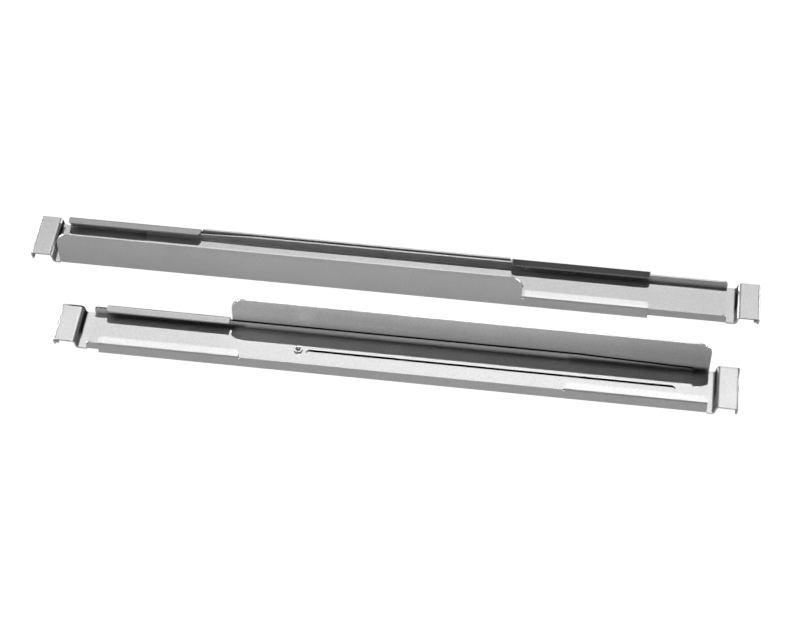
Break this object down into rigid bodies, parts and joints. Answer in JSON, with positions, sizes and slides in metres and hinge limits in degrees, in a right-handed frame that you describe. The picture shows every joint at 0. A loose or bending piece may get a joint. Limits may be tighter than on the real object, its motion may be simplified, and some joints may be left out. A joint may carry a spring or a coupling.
{
  "type": "sliding server rail pair",
  "caption": "Pair of depth-adjustable sheet-steel slide rails: each outer channel with a support ledge and lips holds a telescoping inner channel, and joggled hooks end both.",
  "frame": {"origin": "middle of the pair's overall box, on the plane that the outer channels' webs lie on", "axes": "+X along the rails, from the left rail's outer hook to its inner hook; +Y from the right rail to the left one; +Z away from the webs, up the support ledges"},
  "size_m": [0.6472, 0.141, 0.0398],
  "materials": {
    "outer_sheet": "zinc-plated sheet steel, dull with a fine grain",
    "inner_sheet": "zinc-plated sheet steel, dull with a fine grain",
    "bush": "zinc-plated turned steel"
  },
  "bodies": {
    "outer_channels": {"left_rail_outer_channel": "outer_sheet", "right_rail_outer_channel": "outer_sheet"},
    "left_inner": {"left_rail_inner_channel": "inner_sheet", "left_rail_threaded_bush": "bush"},
    "right_inner": {"right_rail_inner_channel": "inner_sheet", "right_rail_threaded_bush": "bush"}
  },
  "joints": [
    {"name": "left_rail_slide", "type": "slide", "parent": "outer_channels", "child": "left_inner", "axis": [1, 0, 0], "range_m": [-0.0617, 0.2828]},
    {"name": "right_rail_slide", "type": "slide", "parent": "outer_channels", "child": "right_inner", "axis": [-1, 0, 0], "range_m": [-0.0045, 0.34]}
  ]
}
